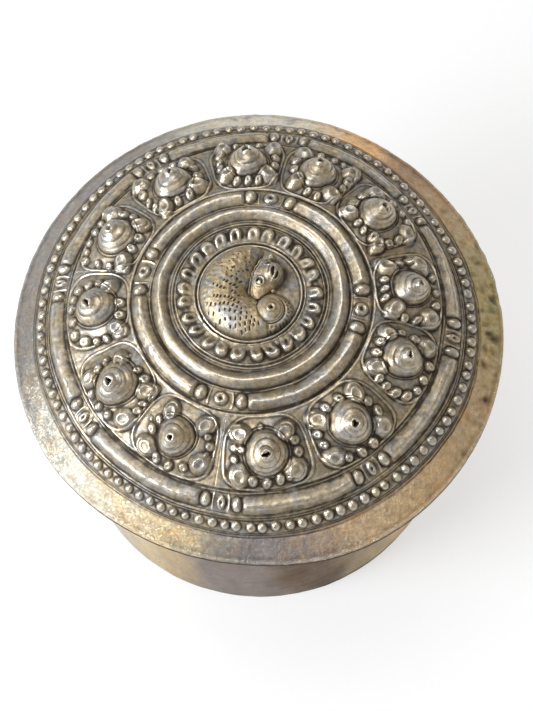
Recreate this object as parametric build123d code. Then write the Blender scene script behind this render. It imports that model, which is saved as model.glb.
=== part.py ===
"""Round silver incense box: a domed, chased lid with a wide brim on a plain drum.

Millimetres, +Z up. The origin is the middle of the underside, on the table.
The lid's worked side is right way up for someone looking along +Y.
"""
from build123d import *
import math
import os

# Overall sizes
lid_radius = 60.0
body_height = 71.6
dome_rise = 23.4

# Sheet, wire and solder
wall_thickness = 0.9
base_thickness = 1.0
lid_sheet = 0.9
collar_sheet = 0.8
solder_gap = 0.05

# Body wall seam, a lap filed thin at the back of the drum
lap_thickness = 0.45
lap_width = 5.0
lap_direction = 90.0
lap_end_clearance = 0.2

# Half-round wire round the outside of the mouth, a little below the wall's edge
mouth_wire_radius = 1.4
mouth_wire_drop = 0.6

# Fit of the lid on the mouth
seat_gap = 0.3
collar_clearance = 0.3
collar_reach = 9.0

# The lid's edge, turned straight down
hem_drop = 1.2

# Share of the dome's fall that goes with the square of the radius; the rest goes with its fourth power
dome_square_share = 0.65

# Raised rings measured inwards from the lid's edge: width, then height
brim_width = 6.9
bead_ring_width = 2.4
bead_ring_height = 1.0
plain_band_width = 1.5
outer_bar_width = 3.6
outer_bar_height = 1.3

# Raised rings measured outwards from the middle
medallion_radius = 12.2
border_ring_width = 0.9
border_ring_height = 0.5
petal_ring_land = 0.4
petal_ring_width = 4.2
petal_ring_height = 1.2
torus_land = 2.1
torus_width = 3.3
torus_height = 1.2
inner_bar_land = 0.9
inner_bar_width = 4.2
inner_bar_height = 1.2
rosette_land = 0.6

# The twelve hollow bosses, one in the middle of each rosette
boss_count = 12
boss_first_direction = 2.0
boss_base_radius = 5.1
boss_step_radius = 3.5
boss_tip_radius = 1.3
boss_height = 5.4
boss_step_height = 2.1
boss_step_rise = 0.5
boss_hole_radius = 0.5
boss_wall = 0.8
boss_sink = 0.6

# The coiled beast in the middle: its body is a low round cushion with a wedge of bare floor
beast_radius = 11.9
body_rise = 4.4
floor_direction = 12.0
floor_half_angle = 26.0
floor_apex = 4.4
head_centre = (3.6, 3.2)
head_radius = 4.2
head_side = 3.2
head_rise = 2.4
haunch_centre = (4.7, -4.2)
haunch_radius = 3.6
haunch_side = 3.6
haunch_rise = 1.6


def dome_height(radius):
    """Height of the plain dome above the fold of its edge."""
    share = radius / lid_radius
    fall = dome_square_share * share**2 + (1 - dome_square_share) * share**4
    return dome_rise * (1 - fall)


def dome_slope(radius):
    """How fast the dome falls at a radius, as a positive number."""
    share = radius / lid_radius
    fall = 2 * dome_square_share * share + 4 * (1 - dome_square_share) * share**3
    return dome_rise * fall / lid_radius


# Radii that follow from the sizes above: the wall stands just inside the beads
bead_ring_outer = lid_radius - brim_width
bead_ring_inner = bead_ring_outer - bead_ring_width
hem_inner_radius = lid_radius - lid_sheet
body_outer_radius = bead_ring_inner
body_inner_radius = body_outer_radius - wall_thickness
collar_outer_radius = body_inner_radius - collar_clearance
collar_inner_radius = collar_outer_radius - collar_sheet

outer_bar_outer = bead_ring_inner - plain_band_width
outer_bar_inner = outer_bar_outer - outer_bar_width
border_outer = medallion_radius + border_ring_width
petal_inner = border_outer + petal_ring_land
petal_outer = petal_inner + petal_ring_width
torus_inner = petal_outer + torus_land
torus_outer = torus_inner + torus_width
inner_bar_inner = torus_outer + inner_bar_land
inner_bar_outer = inner_bar_inner + inner_bar_width
rosette_inner = inner_bar_outer + rosette_land
rosette_outer = outer_bar_inner - rosette_land
rosette_radius = (rosette_inner + rosette_outer) / 2

# Raised rings, from the middle out: inner radius, outer radius, height
raised_rings = [
    (medallion_radius, border_outer, border_ring_height),
    (petal_inner, petal_outer, petal_ring_height),
    (torus_inner, torus_outer, torus_height),
    (inner_bar_inner, inner_bar_outer, inner_bar_height),
    (outer_bar_inner, outer_bar_outer, outer_bar_height),
    (bead_ring_inner, bead_ring_outer, bead_ring_height),
]

# Heights: the lid's underside clears the wall's edge by the seat gap, measured square to the sheet
seat_rise = seat_gap * math.hypot(1, dome_slope(body_outer_radius))
fold_height = body_height + seat_rise + lid_sheet - dome_height(body_outer_radius)
hem_bottom = fold_height - hem_drop
medallion_height = fold_height + dome_height(medallion_radius)
collar_bottom = body_height - collar_reach
wire_top = body_height - mouth_wire_drop
wire_bottom = wire_top - 2 * mouth_wire_radius


def ring(inner, outer, bottom, top):
    """A plain tube stood on end."""
    tube = Cylinder(outer, top - bottom) - Cylinder(inner, top - bottom)
    return Pos(0, 0, (bottom + top) / 2) * tube


def skin_point(radius, drop, lift=0.0):
    """A point on the lid's section: the dome's height, less a drop for the underside."""
    return (radius, 0, fold_height + dome_height(radius) - drop + lift)


def skin_arc(start, end, drop, lift=0.0):
    """The dome's curve from one radius to another, bulged by lift at its middle."""
    middle = (start + end) / 2
    return ThreePointArc(skin_point(start, drop), skin_point(middle, drop, lift), skin_point(end, drop))


def skin_line(last_radius, drop):
    """The lid's section line from the flat medallion floor out to a last radius."""
    edges = [Line((0, 0, medallion_height - drop), skin_point(medallion_radius, drop))]
    reached = medallion_radius
    for inner, outer, height in raised_rings:
        if inner > reached:
            edges.append(skin_arc(reached, inner, drop))
        edges.append(skin_arc(inner, outer, drop, height))
        reached = outer
    edges.append(skin_arc(reached, last_radius, drop))
    return edges


def lid_sheet_solid():
    """The raised sheet: every ring is hollow behind, and the edge is turned down."""
    edge = Polyline(
        skin_point(lid_radius, 0),
        (lid_radius, 0, hem_bottom),
        (hem_inner_radius, 0, hem_bottom),
        skin_point(hem_inner_radius, lid_sheet),
    )
    axis = Line((0, 0, medallion_height), (0, 0, medallion_height - lid_sheet))
    section = Curve() + skin_line(lid_radius, 0) + skin_line(hem_inner_radius, lid_sheet) + edge + axis
    return revolve(make_face(section), Axis.Z)


def boss_solid():
    """One stepped, hollow cone with a pierced tip, stood on the ground plane."""
    section = Polyline(
        (boss_base_radius - boss_wall, 0, -boss_sink),
        (boss_base_radius, 0, -boss_sink),
        (boss_base_radius, 0, 0),
        (boss_step_radius + boss_step_rise, 0, boss_step_height - boss_step_rise),
        (boss_step_radius, 0, boss_step_height),
        (boss_tip_radius, 0, boss_height),
        (boss_hole_radius, 0, boss_height),
        (boss_hole_radius, 0, boss_height - boss_wall),
        (boss_step_radius - boss_wall, 0, boss_step_height - boss_wall),
        (boss_base_radius - boss_wall, 0, -boss_sink),
    )
    return revolve(make_face(section), Axis.Z)


def boss_place(index):
    """Where a boss stands: on the dome in the middle of its rosette, square to the sheet."""
    turn = Rot(0, 0, boss_first_direction + index * 360 / boss_count)
    tilt = math.degrees(math.atan(dome_slope(rosette_radius)))
    return turn * Pos(*skin_point(rosette_radius, 0)) * Rot(0, tilt, 0)


def lid_shell():
    """The lid: one chased sheet, opened behind each boss."""
    shell = lid_sheet_solid()
    hole_radius = boss_base_radius - boss_wall / 2
    hole = Cylinder(hole_radius, 4 * lid_sheet)
    for index in range(boss_count):
        shell = shell - boss_place(index) * hole
    for index in range(boss_count):
        shell = shell + boss_place(index) * boss_solid()
    return shell


def cap(radius, rise):
    """A low round cushion: the top of a ball, cut flat underneath."""
    ball_radius = (radius**2 + rise**2) / (2 * rise)
    ball = Pos(0, 0, rise - ball_radius) * Sphere(ball_radius)
    keep = Pos(0, 0, rise / 2) * Box(2 * radius, 2 * radius, rise)
    return ball & keep


def knob(centre, radius, side, rise):
    """A round post with straight sides and a domed top, stood on the medallion floor."""
    post = Pos(0, 0, side / 2) * Cylinder(radius, side)
    return Pos(centre[0], centre[1], 0) * (post + Pos(0, 0, side) * cap(radius, rise))


def coiled_beast():
    """The beast in high relief on the flat medallion floor: a coiled body, its head and its haunch."""
    reach = 2 * beast_radius
    spread = reach * math.tan(math.radians(floor_half_angle))
    wedge = Polygon((floor_apex, 0), (reach, -spread), (reach, spread), align=None)
    bare_floor = Rot(0, 0, floor_direction) * extrude(wedge, 2 * body_rise)
    body = cap(beast_radius, body_rise) - bare_floor
    head = knob(head_centre, head_radius, head_side, head_rise)
    haunch = knob(haunch_centre, haunch_radius, haunch_side, haunch_rise)
    return Pos(0, 0, medallion_height) * (body + head + haunch)


def lid_collar():
    """The sleeve under the lid that drops inside the mouth."""
    top_outer = skin_point(collar_outer_radius, lid_sheet + solder_gap)
    top_inner = skin_point(collar_inner_radius, lid_sheet + solder_gap)
    section = Polyline(
        (collar_inner_radius, 0, collar_bottom),
        (collar_outer_radius, 0, collar_bottom),
        top_outer,
        top_inner,
        (collar_inner_radius, 0, collar_bottom),
    )
    return revolve(make_face(section), Axis.Z)


def body_wall():
    """The drum, rolled from one strip, with its lapped seam at the back."""
    tube = ring(body_inner_radius, body_outer_radius, 0, body_height)
    lap_top = wire_bottom - lap_end_clearance
    lap_ring = ring(body_inner_radius, body_outer_radius + lap_thickness, 0, lap_top)
    strip = Pos(body_outer_radius, 0, body_height / 2) * Box(4 * wall_thickness, lap_width, body_height)
    return tube + (lap_ring & (Rot(0, 0, lap_direction) * strip))


def mouth_wire():
    """A half-round wire soldered round the outside of the mouth."""
    flat = body_outer_radius + solder_gap
    top = (flat, 0, wire_top)
    bulge = (flat + mouth_wire_radius, 0, wire_top - mouth_wire_radius)
    bottom = (flat, 0, wire_bottom)
    section = Curve() + ThreePointArc(top, bulge, bottom) + Line(bottom, top)
    return revolve(make_face(section), Axis.Z)


def body_base():
    """The flat disc let into the foot of the drum."""
    disc = Cylinder(body_inner_radius - solder_gap, base_thickness)
    return Pos(0, 0, base_thickness / 2) * disc


pieces = {
    "lid_shell": lid_shell,
    "coiled_beast": coiled_beast,
    "lid_collar": lid_collar,
    "body_wall": body_wall,
    "mouth_wire": mouth_wire,
    "body_base": body_base,
}

os.makedirs("parts", exist_ok=True)
for name, build in pieces.items():
    export_step(build(), f"parts/{name}.step")
    print("wrote", name)
print(f"fold {fold_height:.2f}, medallion floor {medallion_height:.2f}, collar bottom {collar_bottom:.2f}")
print(f"rosettes from {rosette_inner:.2f} to {rosette_outer:.2f}, bosses at {rosette_radius:.2f}")
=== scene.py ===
import math

import bpy
import numpy as np
from mathutils import Matrix, Vector


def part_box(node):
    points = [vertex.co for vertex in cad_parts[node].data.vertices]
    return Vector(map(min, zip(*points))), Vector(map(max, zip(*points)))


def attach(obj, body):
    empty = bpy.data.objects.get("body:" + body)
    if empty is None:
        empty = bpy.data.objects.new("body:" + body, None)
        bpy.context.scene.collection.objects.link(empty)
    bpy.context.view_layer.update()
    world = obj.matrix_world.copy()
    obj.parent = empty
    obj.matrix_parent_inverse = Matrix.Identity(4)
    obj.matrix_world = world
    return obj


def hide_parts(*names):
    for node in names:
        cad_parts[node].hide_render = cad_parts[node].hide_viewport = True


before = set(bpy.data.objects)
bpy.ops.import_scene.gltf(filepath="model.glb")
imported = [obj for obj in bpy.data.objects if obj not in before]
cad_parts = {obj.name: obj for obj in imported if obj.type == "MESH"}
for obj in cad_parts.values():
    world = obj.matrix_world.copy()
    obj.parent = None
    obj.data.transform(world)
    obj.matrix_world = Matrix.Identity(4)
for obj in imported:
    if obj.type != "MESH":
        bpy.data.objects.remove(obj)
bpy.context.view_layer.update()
print("frame loaded:", sorted(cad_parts))

mm = 0.001  # shapes are worked out in millimetres and stored in metres
coarse = 1.0


# curves that every relief uses
def smooth(x, low, high):
    # 0 before low, 1 after high, a cubic S between
    t = np.clip((x - low) / (high - low), 0, 1)
    return t * t * (3 - 2 * t)


def roundTop(x, half, power=0.5):
    # half-round strip: (1 - (x/half)^2)^power, 0 outside
    return np.clip(1 - (x / half) ** 2, 0, 1) ** power


def crest(far, power):
    # ridge that falls as far^(2 power) from a narrow soft top to 0 at far = 1
    low = 0.02**power
    return np.clip((1.02**power - (far**2 + 0.02) ** power) / (1.02**power - low), 0, 1)


def bell(x, half):
    # exp(-(x/half)^2)
    return np.exp(-((x / half) ** 2))


def turn(a, b):
    # signed angle from b to a in degrees, within 180
    return (a - b + 180) % 360 - 180


def plan(r, a):
    # x and y from radius and azimuth
    return r * np.cos(np.radians(a)), r * np.sin(np.radians(a))


def scored(h, ink, r, lines, dark=0.6):
    # cuts and darkens lines round the axis: radius, depth, half width
    for at, depth, width in lines:
        cut = bell(r - at, width)
        h = h - depth * cut
        ink = ink + dark * cut
    return h, ink


def lumps(x, y, size, seed, waves=10):
    # sum of plane waves of about one wavelength in seeded directions, roughly -1 to 1
    draw = np.random.default_rng(seed)
    total = np.zeros(np.broadcast(x, y).shape)
    for k in range(waves):
        way, phase, pace = draw.uniform(0, 2 * math.pi), draw.uniform(0, 2 * math.pi), draw.uniform(0.6, 1.5)
        total += np.sin((x * math.cos(way) + y * math.sin(way)) * 2 * math.pi * pace / size + phase)
    return total / math.sqrt(waves)


# the lid's dome
hemDrop = 1.2  # from the fold down to the edge of the CAD sheet
lidForm = {
    "radius": 60.0,
    "fold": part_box("lid_shell")[0].z / mm + hemDrop,
    "rise": 23.4,
    "squareShare": 0.65,
    "sheet": 0.8,
    "medallion": 12.2,
    "reach": 59.97,  # nothing may stand out past the turned-down edge
}


def domeHeight(r):
    # fold + rise * (1 - share s^2 - (1 - share) s^4), flat inside the medallion
    s = np.maximum(r, lidForm["medallion"]) / lidForm["radius"]
    share = lidForm["squareShare"]
    return lidForm["fold"] + lidForm["rise"] * (1 - share * s**2 - (1 - share) * s**4)


def domeLean(r):
    # slope of the dome as a positive number, 0 inside the medallion
    s = r / lidForm["radius"]
    share = lidForm["squareShare"]
    lean = lidForm["rise"] / lidForm["radius"] * (2 * share * s + 4 * (1 - share) * s**3)
    return lean * smooth(r, 12.0, 13.4)


# the sheet was raised by eye: the middle rings sit off centre, and the rim is bent here and there
wander = {
    "middleShift": (-0.72, 0.2),
    "shrink": 0.010,
    # azimuth, its half width, radius, its half width, outwards, upwards
    "bends": (
        (240, 27, 60, 6, -1.5, 0.9),
        (266, 14, 60, 5, -0.7, 0.3),
        (163, 75, 60, 6, -1.0, 0.0),
        (42, 28, 60, 6, -0.9, 0.0),
        (28, 18, 52, 5, -1.3, 0.0),
        (130, 50, 51, 6, 0.3, 0.0),
        (270, 14, 51, 4, 0.3, 0.0),
        (335, 16, 51, 5, 0.5, 0.0),
    ),
}


def bendSheet(x, y, z):
    # plain positions to bent ones: shift of the middle, a slight shrink inside the rim, bell-shaped bends
    r = np.hypot(x, y)
    a = np.degrees(np.arctan2(y, x))
    inside = 1 - smooth(r, 18, 40)
    out = -wander["shrink"] * r * (1 - smooth(r, 53, 60))
    up = np.zeros_like(r)
    for way, wide, at, deep, outwards, upwards in wander["bends"]:
        share = bell(turn(a, way), wide) * bell(r - at, deep)
        out += outwards * share
        up += upwards * share
    out += 0.10 * lumps(x, y, 26, 5) * smooth(r, 14, 30) * (1 - smooth(r, 56, 60))
    flat = np.maximum(r, 1e-6)
    x2 = x * (1 + out / flat) + wander["middleShift"][0] * inside
    y2 = y * (1 + out / flat) + wander["middleShift"][1] * inside
    reach = np.maximum(np.hypot(x2, y2), 1e-6)
    keep = np.minimum(1, lidForm["reach"] / reach)
    return x2 * keep, y2 * keep, z + up


# meshes from carried profiles
ringForm = {"margin": 3.0, "backBlur": 0.25, "tuck": 0.09, "backStain": 0.45}
grimeReach = (0.42, 1.5)  # how far the near and the wide surroundings of a point go


def boxBlur(h, rows, cols):
    # mean over a window of 2*rows+1 by 2*cols+1 cells, edges repeated; two passes come near a bell
    for _ in range(2):
        for axis, n in ((0, rows), (1, cols)):
            pad = [(0, 0), (0, 0)]
            pad[axis] = (n + 1, n)
            run = np.cumsum(np.pad(h, pad, mode="edge"), axis=axis)
            size = h.shape[axis]
            high = np.take(run, np.arange(size) + 2 * n + 1, axis=axis)
            low = np.take(run, np.arange(size), axis=axis)
            h = (high - low) / (2 * n + 1)
    return h


def grimeAndShade(h, ink, cell, share=1.0):
    # stain grows where the sheet lies below its surroundings, wear where it stands above them; the ink each relief
    # passes in is added to the stain, and in places that ink is painted shade
    near, wide = (boxBlur(h, n, n) for n in (max(1, round(reach / cell)) for reach in grimeReach))
    stainAndShade = share * (0.85 * np.clip((near - h) / 0.22, 0, 1) + 0.6 * np.clip((wide - h) / 0.9, 0, 1)) + ink
    wear = np.clip((h - near) / 0.20, 0, 1) * 0.75 + np.clip((h - wide) / 1.2, 0, 1) * 0.3
    return np.clip(stainAndShade, 0, 1), np.clip(wear, 0, 1)


def buildMesh(name, points, quads, others, attributes, sharpRows=(), columns=1):
    mesh = bpy.data.meshes.new(name)
    mesh.vertices.add(len(points))
    mesh.vertices.foreach_set("co", (points * mm).astype(np.float32).ravel())
    corners = np.concatenate([quads.ravel()] + [np.asarray(o).ravel() for o in others]).astype(np.int32)
    counts = np.concatenate([np.full(len(quads), 4)] + [np.full(len(o), len(o[0])) for o in others]).astype(np.int32)
    mesh.loops.add(len(corners))
    mesh.loops.foreach_set("vertex_index", corners)
    mesh.polygons.add(len(counts))
    mesh.polygons.foreach_set("loop_start", np.concatenate([[0], np.cumsum(counts)[:-1]]).astype(np.int32))
    mesh.polygons.foreach_set("use_smooth", np.ones(len(counts), bool))
    mesh.update(calc_edges=True)
    for title, values in attributes.items():
        field = mesh.attributes.new(title, "FLOAT", "POINT")
        field.data.foreach_set("value", values.astype(np.float32).ravel())
    if len(sharpRows):
        ends = np.zeros(len(mesh.edges) * 2, np.int32)
        mesh.edges.foreach_get("vertices", ends)
        rowOf = ends.reshape(-1, 2) // columns
        sharp = (rowOf[:, 0] == rowOf[:, 1]) & np.isin(rowOf[:, 0], sharpRows)
        mesh.edges.foreach_set("use_edge_sharp", sharp)
    mesh.validate()
    piece = bpy.data.objects.new(name, mesh)
    bpy.context.scene.collection.objects.link(piece)
    return piece


def wrapGrid(rows, cols, whole=True):
    # quads of a grid that closes on itself down its columns, and along its rows too when whole
    k, c = np.meshgrid(np.arange(rows), np.arange(cols if whole else cols - 1), indexing="ij")
    k2, c2 = (k + 1) % rows, (c + 1) % cols
    return np.stack([k * cols + c, k2 * cols + c, k2 * cols + c2, k * cols + c2], -1).reshape(-1, 4)


def liftOff(r, a, h):
    # a point over the dome: the height h is measured along the dome's own normal
    lean = domeLean(r)
    size = np.sqrt(1 + lean**2)
    reach = r + h * lean / size
    z = domeHeight(r) + h / size
    x, y = plan(reach, a)
    return bendSheet(x, y, z)


def chasedRing(name, spec, relief, start=0.0, span=360.0):
    # a closed profile carried round the axis: worked face outwards, wall, softer back inwards, wall
    inner, outer, cell, hem = spec["inner"], spec["outer"], spec["cell"] * coarse, spec.get("hem")
    whole = span >= 360
    rows = max(4, round((outer - inner) / cell) + 1)
    cols = round(math.radians(span) * (inner + outer) / 2 / cell)
    pad = max(2, round(ringForm["margin"] / cell))
    dr = (outer - inner) / (rows - 1)
    da = span / cols
    rWide = inner + dr * (np.arange(rows + 2 * pad) - pad)
    aWide = start + da * (np.arange(cols + (0 if whole else 1) + 2 * pad) - pad)
    rr, aa = np.meshgrid(rWide, aWide, indexing="ij")
    height, ink = relief(rr, aa)
    stainAndShade, wear = grimeAndShade(height, ink, dr)
    window = max(1, round(ringForm["backBlur"] / dr))
    soft = boxBlur(height, window, window)
    crop = (slice(pad, -pad), slice(pad, -pad))
    rr, aa, height, stainAndShade, wear, soft = (g[crop] for g in (rr, aa, height, stainAndShade, wear, soft))
    back = np.minimum(soft, height) - lidForm["sheet"]
    tuck = ringForm["tuck"]
    pick = np.unique(np.round(np.linspace(0, rows - 1, max(4, rows // 3))).astype(int))[::-1]

    def row(k, shift, drop, shade=0.0):
        return rr[k] + shift, aa[k], height[k] - drop, np.maximum(stainAndShade[k], shade), wear[k] * 0

    loop = [(rr[k], aa[k], height[k], stainAndShade[k], wear[k]) for k in range(rows)]
    if hem is None:
        loop.append(row(rows - 1, tuck, 0.2))
    else:
        # the turned-down edge below its top 0.2 mm is painted dark, as the shade in the gap over the drum
        for shift, drop in hem:
            loop.append(row(rows - 1, shift, drop, 1.4 * (drop > 0.2)))
    firstBack = len(loop)
    for k in pick:
        shade = np.full(rr[k].shape, ringForm["backStain"])
        if hem is not None and k == rows - 1:
            loop.append((rr[k] - lidForm["sheet"] - 0.1, aa[k], back[k], shade, shade * 0))
        else:
            loop.append((rr[k], aa[k], back[k], shade, shade * 0))
    loop.append(row(0, -tuck, 0.2))
    reach, azimuth, lift, stainsAndShade, wears = (np.array([part[n] for part in loop]) for n in range(5))
    x, y, z = liftOff(reach, azimuth, lift)
    if hem is not None:  # the turned-down edge hangs straight down from the fold
        plain = liftOff(reach[rows - 1], azimuth[rows - 1], lift[rows - 1])
        for k, (shift, drop) in zip(range(rows, firstBack), hem):
            flat = np.hypot(plain[0], plain[1])
            share = np.minimum(flat + shift, lidForm["reach"]) / flat
            x[k], y[k] = plain[0] * share, plain[1] * share
            z[k] = plain[2] - drop
    points = np.stack([x, y, z], -1).reshape(-1, 3)
    around, across = reach.shape
    quads = wrapGrid(around, across, whole)
    others = []
    if not whole:
        ring = np.arange(around) * across
        others = [ring[None, ::-1].copy(), ring[None, :] + across - 1]
    sharpRows = (0, rows - 1) if hem is None else (0,)
    piece = buildMesh(name, points, quads, others, {"stainAndShade": stainsAndShade, "wear": wears}, sharpRows, across)
    print(name, len(points), "points")
    return piece


# brim
brimSpec = {
    "inner": 53.9,
    "outer": 59.8,
    "cell": 0.26,
    "line": 54.35,
    "foldBead": 59.55,
    "innerGroove": 53.75,
    "dentDepth": 1.3,
    # azimuth, radius, half width, depth
    "dents": ((352, 57.5, 1.6, 0.45), (344, 56.2, 1.2, 0.4), (2, 57.8, 1.5, 0.35), (358, 55.6, 1.0, 0.3),
              (336, 58.0, 1.3, 0.3), (12, 57.2, 1.4, 0.25), (28, 56.5, 1.2, 0.2), (322, 59.0, 1.2, 0.3),
              (88, 57.0, 2.2, 0.25), (76, 57.6, 1.6, 0.25), (232, 58.6, 1.5, 0.2), (205, 57.0, 1.8, 0.15)),
    "hem": ((0.17, 0.10), (0.2, 0.3), (0.2, 1.3), (0.1, 1.46), (-0.25, 1.5), (-0.55, 1.46), (-0.65, 1.2)),
}


def brimRelief(r, a):
    # a plain strip, lumpy by planishing, with one scored line, separate dents, and creases where it has been knocked
    x, y = plan(r, a)
    knocked = bell(turn(a, 352), 26)
    rough = 0.35 + 0.9 * knocked + 0.3 * bell(turn(a, 80), 20)
    crease = 0.5 - np.abs(lumps(x, y, 4.2, 13))
    buckle = 0.5 - np.abs(lumps(x, y, 6.5, 14))
    h = 0.05 * lumps(x, y, 9, 11) + 0.06 * rough * lumps(x, y, 4.5, 12)
    h += 0.11 * (rough - 0.2) * crease + 0.2 * knocked * buckle
    for way, at, half, depth in brimSpec["dents"]:
        side = np.radians(turn(a, way)) * at
        h -= brimSpec["dentDepth"] * depth * np.exp(-((side / half) ** 2) - (((r - at) / half) ** 2))
    line = bell(r - brimSpec["line"] - 0.05 * np.sin(np.radians(a * 7)), 0.13)
    h -= 0.13 * line
    h += 0.26 * bell(r - brimSpec["foldBead"], 0.26) - 0.2 * bell(r - brimSpec["innerGroove"], 0.22)
    return h, 0.75 * line + 0.6 * bell(r - brimSpec["innerGroove"], 0.3)


# row of beads
beadSpec = {
    "inner": 50.35,
    "outer": 53.9,
    "cell": 0.15,
    "count": 107,
    "at": 51.95,
    "radius": 1.12,
    "height": 1.05,
    "innerLine": 50.7,
    "outerLine": 53.45,
    "seed": 21,
}


def beadRelief(r, a):
    # each bead is a half-round knob; the row stands on a low ridge between two scored lines
    draw = np.random.default_rng(beadSpec["seed"])
    count = beadSpec["count"]
    pitch = 360 / count
    which = np.floor((a % 360) / pitch).astype(int) % count
    offAngle = draw.uniform(-0.10, 0.10, count)
    offRadius = draw.uniform(-0.14, 0.14, count)
    size = draw.uniform(0.88, 1.06, count)
    tall = draw.uniform(0.78, 1.05, count)
    flat = draw.uniform(0, 1, count) > 0.82
    tall = np.where(flat, tall * 0.75, tall)
    centre = (which + 0.5 + offAngle[which]) * pitch
    side = np.radians(turn(a, centre)) * beadSpec["at"]
    away = r - beadSpec["at"] - offRadius[which]
    far = np.hypot(side, away * 1.02) / (beadSpec["radius"] * size[which])
    knob = roundTop(far, 1.0, 0.62) * beadSpec["height"] * tall[which]
    knob -= 0.10 * bell(far, 0.22)
    h = 0.10 * roundTop(r - beadSpec["at"], 1.6) + knob
    inner = bell(r - beadSpec["innerLine"], 0.17)
    outer = bell(r - beadSpec["outerLine"], 0.14)
    rim = bell(r - 53.9, 0.2)
    h -= 0.20 * inner + 0.14 * outer + 0.2 * rim
    between = bell(r - beadSpec["at"], 1.3) * smooth(far, 0.85, 1.15)
    return h, 0.4 * between + 0.6 * inner + 0.5 * outer + 0.5 * rim


# bars broken by knots
outerBarSpec = {
    "inner": 45.0, "outer": 50.35, "cell": 0.165,
    "at": 47.6, "half": 2.0, "height": 1.2, "edge": 0.58, "shade": 0.42,
    "knots": (30, 75, 118, 165, 208, 256, 300, 347),
    "ball": 3.75, "crescent": 1.95, "bar": 6.0, "oval": (0.72, 1.15), "ballRadius": 1.3,
    "lines": ((45.05, 0.20, 0.20), (45.6, 0.10, 0.12), (49.55, 0.12, 0.12), (50.3, 0.18, 0.18)),
    "seed": 31,
}
innerBarSpec = {
    "inner": 23.5, "outer": 28.5, "cell": 0.135,
    "at": 26.1, "half": 2.05, "height": 1.45, "edge": 0.75, "shade": 0.12,
    "knots": (75, 160, 250, 348),
    "ball": 4.9, "crescent": 2.9, "bar": 7.3, "oval": (1.25, 1.15), "ballRadius": 1.5,
    "lines": ((23.45, 0.24, 0.22), (28.45, 0.24, 0.2), (24.0, 0.08, 0.12), (28.0, 0.06, 0.1)),
    "seed": 32,
}


def barRelief(spec):
    def relief(r, a):
        # round-ended half-round bars; at each knot a ball, a bowed line, a scooped oval, a bowed line and a ball
        x, y = plan(r, a)
        knots = np.array(spec["knots"], float)
        gaps = turn(a[..., None], knots)
        nearest = np.abs(gaps).argmin(-1)
        side = np.radians(np.take_along_axis(gaps, nearest[..., None], -1)[..., 0]) * spec["at"]
        away = r - spec["at"] - 0.15 * lumps(x, y, 30, spec["seed"])
        half = spec["half"]
        wave = 0.09 * lumps(x, y, 8, spec["seed"] + 1)
        beyond = np.maximum(spec["bar"] - np.abs(side), 0)
        far = np.hypot((away + wave) / half, beyond / 1.7)
        bar = crest(far, spec["edge"])
        h = spec["height"] * bar
        ball = np.hypot(np.abs(side) - spec["ball"], away * 0.85) / spec["ballRadius"]
        h = np.maximum(h, 1.1 * spec["height"] * roundTop(ball, 1.0, 0.55))
        bow = np.abs(side) - spec["crescent"] + 0.30 * (away / half) ** 2
        line = bell(bow, 0.2) * roundTop(away, half * 0.95, 0.4)
        h = np.maximum(h, 0.42 * line)
        wide, tall = spec["oval"]
        oval = np.hypot(side / wide, away / tall)
        h = np.maximum(h, spec["height"] * (0.80 * roundTop(oval / 1.35, 1.0, 0.5) - 0.62 * bell(oval, 0.55)))
        h = h + 0.04 * lumps(x, y, 2.4, spec["seed"] + 2)
        ink = 0.35 * bell(oval, 0.45) + 0.3 * bell(ball - 1.1, 0.14) * (np.abs(side) < spec["bar"])
        # the slopes either side of the crest are darkened: partly tarnish, partly painted shade standing in for dark
        # reflections
        ink = ink + spec["shade"] * smooth(far, 0.12, 0.6) * (1 - smooth(far, 1.0, 1.3))
        return scored(h, ink, r - 0.07 * lumps(x, y, 12, spec["seed"] + 3), spec["lines"])
    return relief


# torus between the bars and the petals
torusSpec = {
    "inner": 18.0, "outer": 23.5, "cell": 0.165, "at": 21.35, "half": 2.0, "height": 1.5, "edge": 0.74,
    "lines": ((18.05, 0.2, 0.2), (18.7, 0.10, 0.14), (23.45, 0.24, 0.24)),
}


def torusRelief(r, a):
    # one plain half-round ring with scored lines beside it
    x, y = plan(r, a)
    away = r - torusSpec["at"] + 0.12 * lumps(x, y, 14, 41)
    h = torusSpec["height"] * crest(away / torusSpec["half"], torusSpec["edge"]) * (1 + 0.05 * lumps(x, y, 6, 42))
    # the slopes either side of the crest are darkened: partly tarnish, partly painted shade standing in for dark
    # reflections
    ink = 0.12 * smooth(np.abs(away) / torusSpec["half"], 0.15, 0.7)
    return scored(h, ink, r - 0.05 * lumps(x, y, 9, 43), torusSpec["lines"], 0.7)


# ring of upright petals
petalSpec = {
    "inner": 12.6, "outer": 18.0, "cell": 0.115,
    "count": 25, "first": 3.5, "wide": 1.7, "bend": 15.35, "end": 1.85, "height": 1.85, "seed": 51,
    "lines": ((12.6, 0.24, 0.20), (17.95, 0.2, 0.2), (17.35, 0.09, 0.12)),
}


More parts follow.
